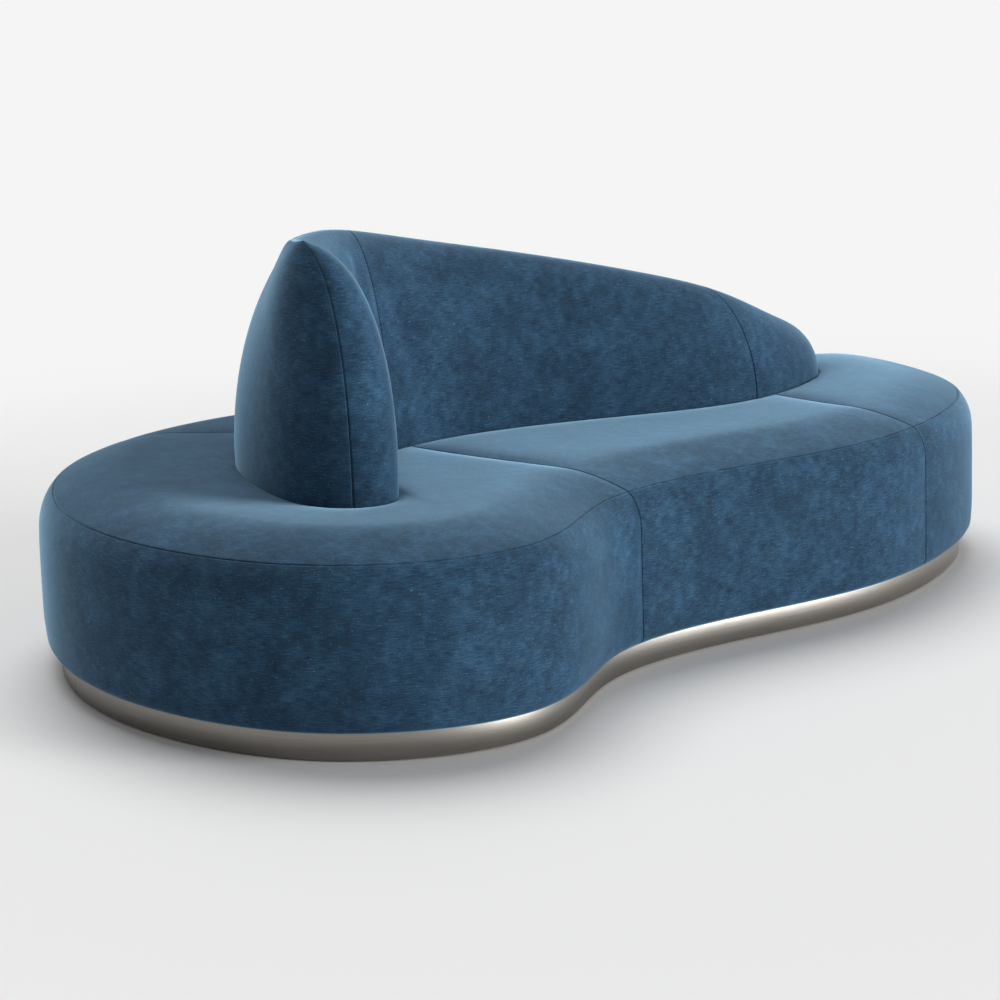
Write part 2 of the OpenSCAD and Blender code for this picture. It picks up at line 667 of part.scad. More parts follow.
// The point of the ridge over a rib: the one nearest the rib's plane
RIDGE_SAMPLES = 60;
ridge_line = [for (k = [0 : RIDGE_SAMPLES]) path_at(ridge_path, ridge_spans * k / RIDGE_SAMPLES)];
function ridge_over(f) =
    let (side = sideways(f[1] - f[0]),
        off = [for (r = ridge_line) abs(([r.x, r.y] - f[0]) * side)], least = min(off))
    [for (k = [0 : RIDGE_SAMPLES]) if (off[k] == least) ridge_line[k]][0];
function rib_top(i) = ridge_over(rib_feet(i)).z - top_padding - RIB_MARGIN;
RIB_STEPS = 10;
// A board cut from its children, which stands on the line from a to b, their x axis along it
module upright(a, b) {
    way = b - a;
    translate([a.x, a.y, 0]) rotate([0, 0, atan2(way.y, way.x)]) rotate([90, 0, 0])
        translate([0, 0, -rib_thickness / 2]) linear_extrude(rib_thickness) children();
}
module back_rib(i) {
    f = rib_feet(i);
    way = f[1] - f[0];
    long = norm(way);
    over = ridge_over(f);
    peak = ([over.x, over.y] - f[0]) * way / long;
    rise = rib_top(i) - seat_height;
    arch = concat(
        [for (k = [0 : RIB_STEPS]) let (a = 90 * k / RIB_STEPS)
            [peak - peak * cos(a), seat_height + rise * sin(a)]],
        [for (k = [RIB_STEPS - 1 : -1 : 0]) let (a = 90 * k / RIB_STEPS)
            [peak + (long - peak) * cos(a), seat_height + rise * sin(a)]]);
    upright(f[0], f[1]) polygon(concat([[0, plate_top]], arch, [[long, plate_top]]));
}
module back_ribs() { color("burlywood") for (i = [FIRST_RIB : LAST_RIB]) back_rib(i); }
function board_top(i) = plate_top + BOARD_SHARE * (rib_top(i) - plate_top);
module back_bay_boards() {
    color("tan") difference() {
        for (i = [FIRST_RIB : LAST_RIB - 1]) {
            long = norm(spine[i + 1] - spine[i]);
            upright(spine[i], spine[i + 1])
                polygon([[0, plate_top], [long, plate_top], [long, board_top(i + 1)], [0, board_top(i)]]);
        }
        slab(plate_top - CUT, back_height)
            for (i = [FIRST_RIB : LAST_RIB]) strip(rib_feet(i)[0], rib_feet(i)[1], rib_thickness + 2 * fit);
    }
}
// Steel angles between the base plate and the ribs, on both sides of the boards
BRACKET_OUT = 58;
BRACKET_RIBS = [2, 3, 4, 5, 6];
module back_brackets() {
    color("gray") for (i = BRACKET_RIBS) for (side = [-1, 1]) {
        f = rib_feet(i);
        way = (f[1] - f[0]) / norm(f[1] - f[0]);
        p = spine[i] + side * BRACKET_OUT * way;
        translate([p.x, p.y, plate_top]) rotate([0, 0, atan2(way.y, way.x)])
            translate([-bracket_width / 2, rib_thickness / 2, 0]) {
                cube([bracket_width, bracket_leg, bracket_thickness]);
                cube([bracket_width, bracket_thickness, bracket_leg]);
            }
    }
}
// Foam over the back's frame, in a front and a rear half
module back_foam(a, b) {
    cs = panel_columns(a, b);
    color("palegoldenrod") sheet_between(
        concat([[for (c = cs) lift(fin_in(c[1], 0, lining), over_deck)]],
            [for (a = BACK_ANGLES) [for (c = cs) fin_in(c[1], a, lining)]]),
        concat([[for (c = cs) lift(core(c[1], 0), over_deck)]],
            [for (a = BACK_ANGLES) [for (c = cs) core(c[1], a)]]));
}
module back_foam_front() { back_foam(NOSE, FAR_TIP); }
module back_foam_rear() { back_foam(FAR_TIP, count); }

// Covers of the seat: a side and a top, each sewn from four panels
function side_rows(cs, deep) = concat(
    [[for (c = cs) rim_point(c, [foot_radius + cover_tuck, plinth_top + deep])]],
    [for (a = [-90, -45, 0]) [for (c = cs) rim_point(c, low_round(a, deep))]],
    [for (a = [0, seam_angle / 2, seam_angle - SEAM_GAP]) [for (c = cs) rim_point(c, high_round(a, deep))]]);
function top_rows(cs, out, deep) = concat(
    [for (a = [seam_angle + SEAM_GAP, TOP_ANGLE]) [for (c = cs) rim_point(c, high_round(a, deep))]],
    [for (v = TOP_SHARES) [for (c = cs) top_point(c, v, out, deep)]],
    [[for (c = cs) lift(toe(c[1], out), seat_height - cover_flap)]]);
module side_cover(a, b) {
    cs = panel_columns(a, b);
    color("steelblue") sheet_between(side_rows(cs, 0), side_rows(cs, cloth));
}
module top_cover(a, b) {
    cs = panel_columns(a, b);
    color("steelblue") sheet_between(top_rows(cs, soft_gap, 0), top_rows(cs, soft_gap + cloth, cloth));
}
module seat_top_cover_near() { top_cover(NEAR_SEAM, FRONT_SEAM + count); }
module seat_top_cover_front() { top_cover(FRONT_SEAM, FAR_SEAM); }
module seat_top_cover_far() { top_cover(FAR_SEAM, REAR_SEAM); }
module seat_top_cover_rear() { top_cover(REAR_SEAM, NEAR_SEAM); }
module seat_side_cover_near() { side_cover(NEAR_SEAM, FRONT_SEAM + count); }
module seat_side_cover_front() { side_cover(FRONT_SEAM, FAR_SEAM); }
module seat_side_cover_far() { side_cover(FAR_SEAM, REAR_SEAM); }
module seat_side_cover_rear() { side_cover(REAR_SEAM, NEAR_SEAM); }

// Cover of the back, sewn from five panels that meet on the ridge
function back_rows(cs, depth) = concat(
    [[for (c = cs) lift(fin_in(c[1], 0, depth), deck_top + soft_gap)]],
    [for (a = BACK_ANGLES) [for (c = cs) fin_in(c[1], a, depth)]]);
module back_cover(a, b) {
    cs = panel_columns(a, b);
    color("steelblue") sheet_between(back_rows(cs, 0), back_rows(cs, cloth));
}
module back_cover_edge() { back_cover(NOSE, EDGE_SEAM); }
module back_cover_front() { back_cover(EDGE_SEAM, FACE_END); }
module back_cover_far() { back_cover(FACE_END, FAR_TIP); }
module back_cover_rear() { back_cover(FAR_TIP, NEAR_SEAM); }
module back_cover_near() { back_cover(NEAR_SEAM, count); }

glides();
plinth_ring();
plinth_crossbars();
plinth_band_front();
plinth_band_rear();
plinth_screws();
base_deck_near();
base_deck_far();
dust_cover();
seat_ribs_front();
seat_ribs_rear();
spine_board_front();
spine_board_rear();
side_skin_front();
side_skin_rear();
deck_splices();
top_deck_near();
top_deck_far();
webbing_cross();
webbing_long();
seat_foam_near();
seat_foam_far();
seat_topper();
side_foam();
back_base_plate();
back_bolts();
back_washers();
back_nuts();
back_ribs();
back_bay_boards();
back_brackets();
back_foam_front();
back_foam_rear();
seat_side_cover_near();
seat_side_cover_front();
seat_side_cover_far();
seat_side_cover_rear();
seat_top_cover_near();
seat_top_cover_front();
seat_top_cover_far();
seat_top_cover_rear();
back_cover_near();
back_cover_edge();
back_cover_front();
back_cover_far();
back_cover_rear();
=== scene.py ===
# %% [markdown]
# # A curved two-sided island sofa
#
# The sofa has a seat with a free-form outline, 2.6 m long, on a metal plinth that stands
# back underneath. One fin-shaped back runs along the seat and falls away to the far end.
# Everything that shows is fabric, apart from the plinth. The imported CAD model is the measure for
# all of it, so it is loaded first.

# %% Load the frame
import json
import math

import bpy
import numpy as np
from mathutils import Matrix, Vector


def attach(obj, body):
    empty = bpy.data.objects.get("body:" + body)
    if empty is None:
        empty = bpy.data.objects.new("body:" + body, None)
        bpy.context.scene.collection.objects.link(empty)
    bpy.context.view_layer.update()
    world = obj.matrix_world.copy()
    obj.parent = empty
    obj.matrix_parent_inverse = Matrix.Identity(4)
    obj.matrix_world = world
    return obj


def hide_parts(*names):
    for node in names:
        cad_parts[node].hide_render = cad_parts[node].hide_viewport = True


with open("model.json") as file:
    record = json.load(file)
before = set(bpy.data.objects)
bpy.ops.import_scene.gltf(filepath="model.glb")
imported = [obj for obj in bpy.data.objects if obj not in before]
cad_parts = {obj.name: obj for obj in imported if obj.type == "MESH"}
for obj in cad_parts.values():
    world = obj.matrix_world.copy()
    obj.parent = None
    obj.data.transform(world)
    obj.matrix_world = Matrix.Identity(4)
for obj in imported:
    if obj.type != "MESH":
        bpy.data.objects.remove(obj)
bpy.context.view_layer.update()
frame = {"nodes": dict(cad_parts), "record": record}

NODES = frame["nodes"]
scene = bpy.context.scene
MM = 0.001

# %% [markdown]
# ## The camera
#
# The photograph looks down on the sofa from the front left, from nearly 7 m away. A long
# lens gives the calm, nearly parallel edges of a catalogue picture. The camera's three
# axes are written out, because it also leans by a degree or two.

# %% Camera
CAMERA_PLACE = Vector((-4.212, -5.348, 1.71))
CAMERA_TURN, CAMERA_PITCH, CAMERA_ROLL = map(math.radians, (37, 12.04, 1.75))
flat_right = Vector((math.cos(CAMERA_TURN), -math.sin(CAMERA_TURN), 0))
flat_ahead = Vector((math.sin(CAMERA_TURN), math.cos(CAMERA_TURN), 0))
ahead = math.cos(CAMERA_PITCH) * flat_ahead - Vector((0, 0, math.sin(CAMERA_PITCH)))
down = -math.sin(CAMERA_PITCH) * flat_ahead - Vector((0, 0, math.cos(CAMERA_PITCH)))
right = math.cos(CAMERA_ROLL) * flat_right + math.sin(CAMERA_ROLL) * down
up = math.sin(CAMERA_ROLL) * flat_right - math.cos(CAMERA_ROLL) * down
bpy.ops.object.camera_add()
camera = bpy.context.object
camera.name = "camera"
camera_axes = Matrix((right, up, -ahead)).transposed().to_4x4()
camera.matrix_world = Matrix.Translation(CAMERA_PLACE) @ camera_axes
camera.data.sensor_width = 36
camera.data.lens = 108
scene.camera = camera
print("camera at", tuple(round(v, 2) for v in CAMERA_PLACE))

# %% [markdown]
# ## Curves
#
# The seat, the foot of the back and its ridge are smooth curves. Each is a B-spline: its
# control points pull the line towards them, and it has no corner anywhere. These are the
# points that the CAD model uses, in millimetres.

# %% Control points
OUTLINE = [(-1190, -740), (-670, -920), (-350, -560), (70, -540), (530, -590),
           (1050, -330), (1250, -60), (1330, 300), (1200, 460), (760, 540),
           (120, 700), (-450, 890), (-900, 720), (-1180, 380), (-1350, -130)]
FOOT = [(-820, -450), (-705, -400), (-650, -150), (-490, 50), (-170, 80), (150, -10),
        (450, -110), (730, -30), (910, 80), (960, 190), (830, 270), (530, 180),
        (180, 270), (-220, 410), (-590, 410), (-800, 160), (-905, -170), (-920, -350)]
# The third value says how high the ridge is there, as a share of its whole fall
RIDGE = [(-905, -352, 1.08), (-860, -227, .992), (-793, -105, .933), (-621, 73, .916),
         (-433, 225, .869), (-200, 260, .75), (50, 190, .64), (310, 90, .5),
         (560, 45, .34), (690, 105, .12), (790, 160, -.04)]


def spline_weights(t):
    return np.array([(1 - t) ** 3, 3 * t ** 3 - 6 * t ** 2 + 4,
                     -3 * t ** 3 + 3 * t ** 2 + 3 * t + 1, t ** 3]) / 6


def loop_at(points, u):
    """Points of a closed curve at the places u, each 0 to the number of control points."""
    first = np.floor(u).astype(int)
    near = [points[(first + k) % len(points)] for k in (-1, 0, 1, 2)]
    return np.einsum("kn,knd->nd", spline_weights(u - first), np.array(near))


def path_at(points, u):
    """Points of an open curve at the places u, 0 to three fewer than its control points."""
    first = np.clip(np.floor(u).astype(int), 0, len(points) - 4)
    near = [points[first + k] for k in range(4)]
    return np.einsum("kn,knd->nd", spline_weights(u - first), np.array(near))


def outward(points, u, step=.01):
    """The side that faces out of a closed curve that runs anticlockwise."""
    way = loop_at(points, u + step) - loop_at(points, u - step)
    return np.stack([way[:, 1], -way[:, 0]], 1) / np.linalg.norm(way, axis=1)[:, None]


# %% Fit the curves to the CAD's size
SEAT_TOP, BACK_TOP, BACK_LOW = .43, .97, .585
middle = np.array([1.9158, -3.6505])
stretch = np.array([1.0043400, 1.0014800]) * MM
outline = (np.array(OUTLINE) - middle) * stretch
foot = (np.array(FOOT) - middle) * stretch
ridge = np.array(RIDGE, float)
ridge[:, :2] = (ridge[:, :2] - middle) * stretch
RIDGE_SPANS = len(RIDGE) - 3
share_ends = path_at(ridge, np.array([0., RIDGE_SPANS]))[:, 2]
fall = (ridge[:, 2] - share_ends[1]) / (share_ends[0] - share_ends[1])
ridge[:, 2] = BACK_LOW + (BACK_TOP - BACK_LOW) * fall
print("stretch of the drawing:", stretch)

# %% [markdown]
# ## Which places face each other
#
# A cover is cut so that its threads run from the seat's edge to the back, and from the
# foot of the back over its ridge. Short tables say which places belong together. A smooth
# curve is laid through each table, because a table read in straight steps would leave a
# faint crease on the cloth at every entry.


# %% Tables
def smooth_table(rows):
    """A function through the rows that never overshoots between them."""
    x, y = np.array(rows, float).T
    steps, slopes = np.diff(x), np.diff(y) / np.diff(x)
    ends = np.concatenate([slopes[:1], slopes, slopes[-1:]])
    before, after = ends[:-1], ends[1:]
    both = np.where(before + after == 0, 1, before + after)
    tangents = np.where(before * after > 0, 2 * before * after / both, 0)

    def at(v):
        k = np.clip(np.searchsorted(x, v, side="right") - 1, 0, len(steps) - 1)
        t = (v - x[k]) / steps[k]
        return (y[k] * (1 + 2 * t) * (1 - t) ** 2 + y[k + 1] * t * t * (3 - 2 * t)
                + steps[k] * (tangents[k] * t * (1 - t) ** 2 - tangents[k + 1] * t * t * (1 - t)))
    return at


ridge_share = smooth_table([(0, 0), (1.4, .04), (2.667, .31), (6.35, .83), (7.7, .96), (9, 1)])
across = smooth_table([(9, 9), (10.1, 7.7), (10.9, 6.6), (11, 6.35), (13.3, 4), (14.1, 3.3),
                       (15, 2.667), (16.6, 1.4), (18, 0)])
partner = smooth_table([(0, .7), (2.667, 1.75), (3.3, 2.24), (6.35, 4.15), (6.6, 4.3),
                        (9, 7), (10.68, 9), (13.66, 11.75), (18, 15.7)])
TURN = len(FOOT)
# Places of the seams on the foot of the back, from its near end round the front
NOSE, EDGE_SEAM, FRONT_SEAM, FACE_END, FAR_SEAM = -.36, 3.05, 3.3, 6.35, 6.6
TIP, REAR_SEAM, NEAR_SEAM = 9, 10.68, 13.66


def seat_place(q):
    """The place on the seat's outline that faces a place on the back's."""
    return partner(np.mod(q, TURN)) + len(OUTLINE) * np.floor(q / TURN)


def front_place(q):
    """The place on the front half of the foot that shares its point of the ridge."""
    w = np.mod(q, TURN)
    return np.where(w <= TURN / 2, w, across(np.maximum(w, TURN / 2)))


def ridge_point(q):
    """The point of the ridge above a place on the foot of the back."""
    return path_at(ridge, RIDGE_SPANS * np.clip(ridge_share(front_place(q)), 0, 1))


# %% [markdown]
# ## The covers as surfaces
#
# Three kinds of panel clothe the sofa: the seat's side, its top, and the back. Each is a
# grid of points. Its columns run between two upright seams and its rows from the lower
# edge to the upper one. The seat's side turns under at the bottom and rolls over at the
# top. From the seam the top rises softly for a hand's length, where the padding is pressed
# down over the edge. The back's section is a half ellipse over the foot, and fuller than
# that at its high end.

# %% Profiles
PLINTH_TOP, FOOT_RADIUS, EDGE_RADIUS, CROWN = .060, .022, .100, .008
SHOULDER = SEAT_TOP - CROWN
SEAM_ANGLE = 46
TUCK, FLAP, FLAP_ROWS = .038, .045, 4
# How straight the columns leave the edge: more at the front seam, which bends there
PULL_IN, PULL_MORE, PULL_REACH = .45, .3, .5
# How far in the top rises, at most what share of the way to the back, and how softly
SOFT_RUN, SOFT_SHARE, SOFTNESS = .17, .7, 1.8
UNDER_STEP, SIDE_ROWS, EDGE_ROWS, TOP_ROWS = 6, 8, 14, 70
# The back's rows, one for each degree up to its ridge, and how much fuller its high end is
BACK_ROWS = 90
FULLER, FULLER_REACH = .25, .08


def rim(u, inset):
    return loop_at(outline, u) - inset * outward(outline, u)


def at_height(flat, z):
    return np.concatenate([flat, np.full((len(flat), 1), z)], 1)


def rounding(degrees, radius, centre_z):
    """Inset and height on a rounded edge."""
    a = math.radians(degrees)
    return radius * (1 - math.cos(a)), centre_z + radius * math.sin(a)


def side_grid(q):
    u = seat_place(q)
    profile = [(FOOT_RADIUS + TUCK, PLINTH_TOP)]
    low, high = PLINTH_TOP + FOOT_RADIUS, SHOULDER - EDGE_RADIUS
    profile += [rounding(a, FOOT_RADIUS, low) for a in range(-90, 1, UNDER_STEP)]
    profile += [(0, z) for z in np.linspace(low, high, SIDE_ROWS)[1:]]
    profile += [rounding(a, EDGE_RADIUS, high) for a in np.linspace(0, SEAM_ANGLE, EDGE_ROWS)[1:]]
    return np.array([at_height(rim(u, inset), z) for inset, z in profile])


def walked(points, axis):
    """The distance along rows or columns of points, from the first one up to each."""
    steps = np.linalg.norm(np.diff(points, axis=axis), axis=-1)
    zero = np.zeros_like(np.take(steps, [0], axis))
    return np.concatenate([zero, np.cumsum(steps, axis)], axis)


def top_grid(q):
    u = seat_place(q)
    inset, seam_z = rounding(SEAM_ANGLE, EDGE_RADIUS, SHOULDER - EDGE_RADIUS)
    start, end = rim(u, EDGE_RADIUS), loop_at(foot, q)
    pull_in = PULL_IN + PULL_MORE * np.exp(-((np.mod(q, TURN) - FRONT_SEAM) / PULL_REACH) ** 2)
    pull = start - (pull_in * np.linalg.norm(end - start, axis=1))[:, None] * outward(outline, u)
    flats = [rim(u, d) for d in np.linspace(inset, EDGE_RADIUS, EDGE_ROWS)[:-1]]
    flats += [(1 - v) ** 2 * start + 2 * v * (1 - v) * pull + v ** 2 * end
              for v in np.linspace(0, 1, TOP_ROWS)]
    flats = np.array(flats)
    run = walked(flats, 0)
    soft_run = np.minimum(SOFT_RUN, SOFT_SHARE * run[-1])
    rise = 1 - np.clip(1 - run / soft_run, 0, 1) ** SOFTNESS
    return np.concatenate([flats, (seam_z + (SEAT_TOP - seam_z) * rise)[:, :, None]], 2)


def back_sections(q):
    """Half ellipses from the foot of the back up to its ridge, fuller at the high end."""
    feet, tops = loop_at(foot, q), ridge_point(q)
    high_end = np.exp(-(ridge_share(front_place(q)) / FULLER_REACH) ** 2)
    fuller = 1 / (1 + FULLER * high_end)[:, None]
    a = np.radians(np.arange(BACK_ROWS + 1))[:, None, None]
    return np.concatenate([tops[:, :2] + (feet - tops[:, :2]) * np.clip(np.cos(a), 0, 1) ** fuller,
                           SEAT_TOP + (tops[:, 2:] - SEAT_TOP) * np.sin(a) ** fuller], 2)


# %% [markdown]
# ### Rounding the ends of the back
#
# Where the ridge begins, all the half ellipses meet in one point, and that leaves a small
# beak that no padding has. Where it ends, they leave a crease. A maker rounds the foam off
# by hand there. So the back is laid out as one net, section by section from the front foot
# over the ridge to the rear foot, and its points near both places are moved again and
# again, half way to the middle of their neighbours. How far each point has moved is kept,
# and added to the sections.

# %% Rounding
NET, ROUND_STEPS, TABLE_STEPS = 180, 300, 2000
BEAK_REACH, FAR_REACH = .09, .15
front_q = np.linspace(0, TURN / 2, NET + 1)
rear_table = np.linspace(TURN, TURN / 2, TABLE_STEPS)
rear_q = np.interp(front_q, across(rear_table), rear_table)
net = np.concatenate([back_sections(front_q), back_sections(rear_q)[-2::-1]])
BEAK, FAR_END = net[BACK_ROWS, 0], net[BACK_ROWS, -1]
weight = sum(np.exp(-(np.linalg.norm(net - end, axis=2) / reach) ** 2)
             for end, reach in ((BEAK, BEAK_REACH), (FAR_END, FAR_REACH)))[:, :, None]
smooth = net.copy()
for _ in range(ROUND_STEPS):
    beside = (np.concatenate([smooth[::-1, 1:2], smooth[:, :-1]], 1)
              + np.concatenate([smooth[:, 1:], smooth[::-1, -2:-1]], 1))
    above = (np.concatenate([smooth[1:], smooth[-1:]])
             + np.concatenate([smooth[:1], smooth[:-1]]))
    smooth += .5 * weight * ((beside + above) / 4 - smooth)
rounding_off = smooth - net
most = np.linalg.norm(rounding_off, axis=2).max()
print("the ends are rounded off by up to", round(most / MM, 1), "mm")


def back_grid(q, flap=FLAP):
    heights = np.linspace(SEAT_TOP - flap, SEAT_TOP, FLAP_ROWS)[:-1]
    rows = [at_height(loop_at(foot, q), z) for z in heights]
    place = front_place(q) / (TURN / 2) * NET
    low = np.clip(np.floor(place).astype(int), 0, NET - 1)
    part = (place - low)[None, :, None]
    moved = rounding_off[:, low] * (1 - part) + rounding_off[:, low + 1] * part
    front = np.mod(q, TURN) <= TURN / 2
    moved = np.where(front[None, :, None], moved[:BACK_ROWS + 1], moved[:BACK_ROWS - 1:-1])
    return np.concatenate([np.array(rows), back_sections(q) + moved])


# %% [markdown]
# ## Spacing the grid like cloth
#
# The formulas crowd points in some places and spread them in others. Cloth has its threads
# at an even pitch, so every row and column is walked along and given new points at even
# steps. Close to a seam the steps become very small, because the cloth dives into the seam
# within a few millimetres.

# %% Even spacing
STEP = .012
SIM_STEP = .03
CURVE_POINTS, FEWEST_STEPS = 400, 4
NEAR_A_SEAM = np.array([0, .5, 1.1, 1.8, 2.7, 4, 6, 9, 14]) * MM
# On a short line the fine steps take up at most this share of it at each end
NARROW = .3


def marks(length, count, fine):
    """Distances along a line: fine steps at both ends and count even steps between."""
    ends = fine * min(1, NARROW * length / fine[-1]) if len(fine) > 1 else fine
    inner = np.linspace(ends[-1], length - ends[-1], count + 1)
    return np.concatenate([ends[:-1], inner, length - ends[:-1][::-1]])


def respace(grid, step, fine):
    """The same surface with new points along each row of the grid."""
    lengths = walked(grid, 1)
    count = max(FEWEST_STEPS, round(lengths[:, -1].max() / step))
    rows = []
    for line, along in zip(grid, lengths):
        places = marks(along[-1], count, fine)
        rows.append(np.stack([np.interp(places, along, line[:, k]) for k in range(3)], 1))
    return np.array(rows)


def cloth_grid(surface, ends, step, fine):
    """A surface between two seams, evenly spaced both ways."""
    q = np.linspace(ends[0], ends[1], CURVE_POINTS)
    grid = respace(surface(q), step, fine)
    return respace(grid.transpose(1, 0, 2), step, fine).transpose(1, 0, 2)


def normals_of(grid):
    n = np.cross(np.gradient(grid, axis=1), np.gradient(grid, axis=0))
    return n / np.maximum(np.linalg.norm(n, axis=2), 1e-12)[:, :, None]


PANELS = {
    "seat_side_near": (side_grid, (NEAR_SEAM, TURN + FRONT_SEAM)),
    "seat_side_front": (side_grid, (FRONT_SEAM, FAR_SEAM)),
    "seat_side_far": (side_grid, (FAR_SEAM, REAR_SEAM)),
    "seat_side_rear": (side_grid, (REAR_SEAM, NEAR_SEAM)),
    "seat_top_near": (top_grid, (NEAR_SEAM, TURN + FRONT_SEAM)),
    "seat_top_front": (top_grid, (FRONT_SEAM, FAR_SEAM)),
    "seat_top_far": (top_grid, (FAR_SEAM, REAR_SEAM)),
    "seat_top_rear": (top_grid, (REAR_SEAM, NEAR_SEAM)),
    "back_edge": (back_grid, (NOSE, EDGE_SEAM)),
    "back_front": (back_grid, (EDGE_SEAM, FACE_END)),
    "back_far": (back_grid, (FACE_END, TIP)),
    "back_rear": (back_grid, (TIP, NEAR_SEAM)),
    "back_near": (back_grid, (NEAR_SEAM, TURN + NOSE)),
}
fine_grids = {name: cloth_grid(surface, ends, STEP, NEAR_A_SEAM)
              for name, (surface, ends) in PANELS.items()}
print("points on the covers:", sum(g.shape[0] * g.shape[1] for g in fine_grids.values()))

# %% [markdown]
# ## Letting the cloth swell
#
# On the real sofa the foam pushes each panel out between its seams. Blender's cloth
# simulation does the same here: all panels are one coarse cloth, held along its seams,
# with air pressure behind it. How far each point moved is then read off, limited, and laid
# on the fine grids. The simulation runs on the coarse cloth, because the swelling has no
# small folds and a coarse cloth settles in seconds.


# %% Swelling by cloth simulation
def grid_faces(rows, cols, first=0):
    i, j = np.meshgrid(np.arange(rows - 1), np.arange(cols - 1), indexing="ij")
    a = (first + i * cols + j).ravel()
    return np.stack([a, a + 1, a + cols + 1, a + cols], 1)


def new_mesh_object(name, points, faces):
    mesh = bpy.data.meshes.new(name)
    mesh.from_pydata(points.tolist(), [], faces.tolist())
    mesh.update()
    obj = bpy.data.objects.new(name, mesh)
    scene.collection.objects.link(obj)
    return obj


def coordinates(mesh):
    flat = np.empty(len(mesh.vertices) * 3, np.float32)
    mesh.vertices.foreach_get("co", flat)
    return flat.reshape(-1, 3).astype(float)


SWELL = 7 * MM
QUALITY, MASS, STIFFNESS, PRESSURE, FRAMES = 5, .3, 2, 4, 20
# Below this height the back is held, because it stands in the seat there
HELD_BELOW = SEAT_TOP + 2 * MM
EVEN = np.array([0.])
swelling = {}
coarse = {name: cloth_grid(surface, ends, SIM_STEP, EVEN)
          for name, (surface, ends) in PANELS.items()}
points, faces, held, first = [], [], [], 0
for name, grid in coarse.items():
    rows, cols = grid.shape[:2]
    index = first + np.arange(rows * cols).reshape(rows, cols)
    faces.append(grid_faces(rows, cols, first))
    points.append(grid.reshape(-1, 3))
    fixed = (grid[:, :, 2] < HELD_BELOW) & name.startswith("back")
    fixed[[0, -1], :] = fixed[:, [0, -1]] = True
    held += index[fixed].tolist()
    first += rows * cols
cloth = new_mesh_object("swelling_cloth", np.concatenate(points), np.concatenate(faces))
cloth.vertex_groups.new(name="seams").add(held, 1, "REPLACE")
settings = cloth.modifiers.new("Cloth", "CLOTH").settings
settings.quality = QUALITY
settings.mass = MASS
settings.bending_stiffness = STIFFNESS
settings.vertex_group_mass = "seams"
settings.use_pressure = True
settings.uniform_pressure_force = PRESSURE
settings.effector_weights.gravity = 0
cloth.modifiers["Cloth"].point_cache.frame_end = FRAMES
for frame_number in range(1, FRAMES + 1):
    scene.frame_set(frame_number)
graph = bpy.context.evaluated_depsgraph_get()
settled = coordinates(cloth.evaluated_get(graph).to_mesh())
first = 0
for name, grid in coarse.items():
    rows, cols = grid.shape[:2]
    moved = settled[first:first + rows * cols].reshape(rows, cols, 3) - grid
    out = (moved * normals_of(grid)).sum(2)
    kept = SWELL * np.tanh(np.maximum(out, 0) / SWELL)
    swelling[name] = kept
    print(f"{name}: moved up to {out.max() / MM:.1f} mm, kept {kept.max() / MM:.1f} mm")
    first += rows * cols
bpy.data.objects.remove(cloth)
scene.frame_set(1)


# %% Laying the swelling on the fine grids
def shares(grid, axis):
    """How far along its rows or columns each point is, 0 to 1, from the middle line."""
    line = grid[len(grid) // 2] if axis == 1 else grid[:, grid.shape[1] // 2]
    along = walked(line, 0)
    return along / along[-1]


def swell_at(name, grid):
    field = swelling.get(name)
    if field is None:
        return np.zeros(grid.shape[:2])
    rows, cols = [np.linspace(0, 1, n) for n in field.shape]
    wide = np.array([np.interp(shares(grid, 1), cols, line) for line in field])
    return np.array([np.interp(shares(grid, 0), rows, line) for line in wide.T]).T


# %% [markdown]
# ## Seams
#
# The seams are plain: two panels sewn face to face and turned in, with no piping and no
# stitches on show. What the eye gets is a thin dark line where both panels dip. Each panel
# ends just short of the seam, and its allowance is turned in towards the foam, so that
# light can't follow.

# %% Panels with seams
SEAM_DEPTH, SEAM_WIDTH, SEAM_GAP = 3.5 * MM, 1.5 * MM, .3 * MM
# Where a panel runs out to a point, its seams flatten out from this width on, and the gap
# takes up at most this share of the first step
FULL_DEPTH_WIDTH, GAP_SHARE = .12, .8
CLOTH, ROLL, ALLOWANCE = 2 * MM, 7 * MM, 5 * MM
# The borders of a grid: across its rows or its columns, at the first or the last point
BORDERS = {"left": (1, 0), "right": (1, -1), "low": (0, 0), "high": (0, -1)}


def distance_to(grid, border):
    """Distance of every point along its row or column to one border of the grid."""
    axis, side = BORDERS[border]
    along = walked(grid, axis)
    return along if side == 0 else np.take(along, [-1], axis) - along


def turned_in(cloth, normal, seams):
    """Adds the seam allowance, which is turned in towards the foam."""
    for axis, side in (BORDERS[seam] for seam in seams):
        edge, facing = np.take(cloth, [side], axis), np.take(normal, [side], axis)
        inward = edge - ALLOWANCE * facing
        cloth = np.concatenate([inward, cloth] if side == 0 else [cloth, inward], axis)
        normal = np.concatenate([facing, normal] if side == 0 else [normal, facing], axis)
    return cloth


